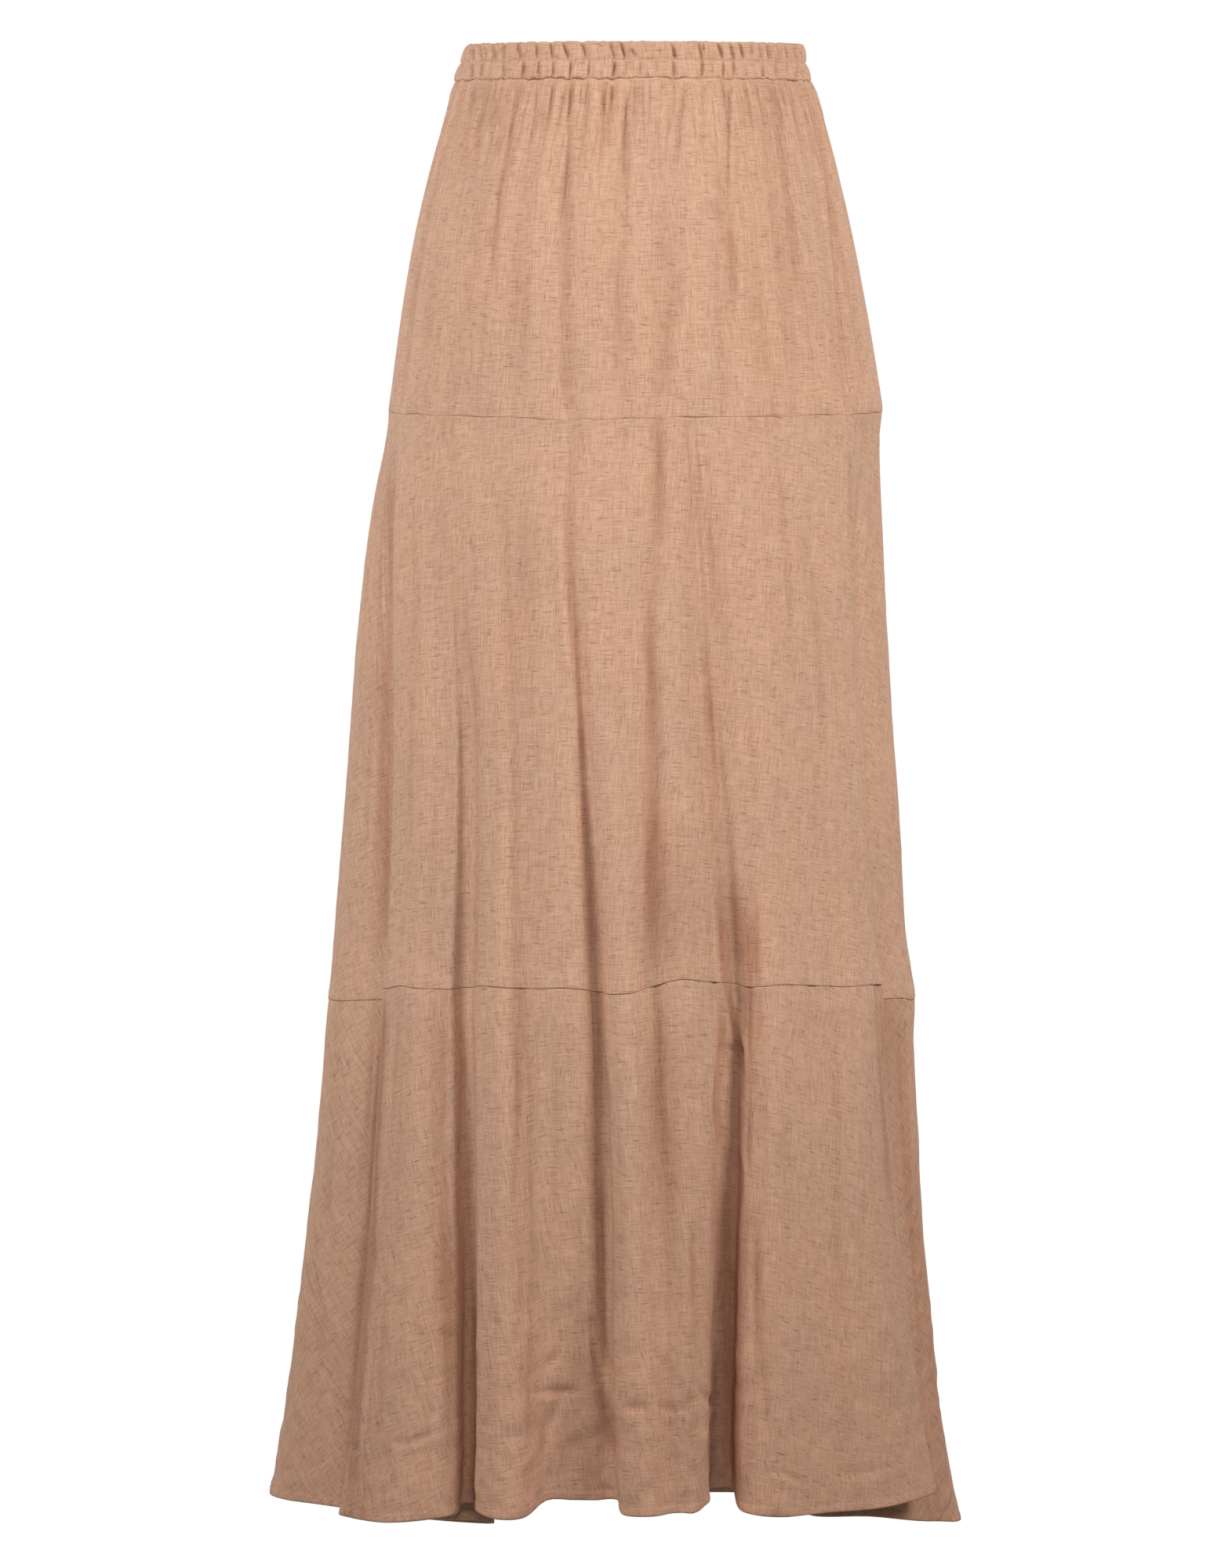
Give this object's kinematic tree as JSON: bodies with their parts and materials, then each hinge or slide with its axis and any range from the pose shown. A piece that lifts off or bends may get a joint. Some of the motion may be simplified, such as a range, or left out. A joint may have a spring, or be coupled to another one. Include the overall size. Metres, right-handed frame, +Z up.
{
  "type": "maxi skirt",
  "caption": "Long tiered cloth skirt with a gathered elastic waistband, three flaring tiers with soft folds and an open hem.",
  "frame": {"origin": "middle of the waist, on the stitch line between the two elastic channels", "axes": "+Z up, -Y to the front of the skirt, +X to the right as seen from the front"},
  "size_m": [0.4732, 0.4318, 1.0276],
  "materials": {
    "linen": "matte loose plain weave"
  },
  "bodies": {
    "root": {"waistband": "linen", "tier1_front": "linen", "tier1_back": "linen", "tier2_front": "linen", "tier2_back": "linen", "tier3_front": "linen", "tier3_back": "linen"}
  },
  "joints": []
}
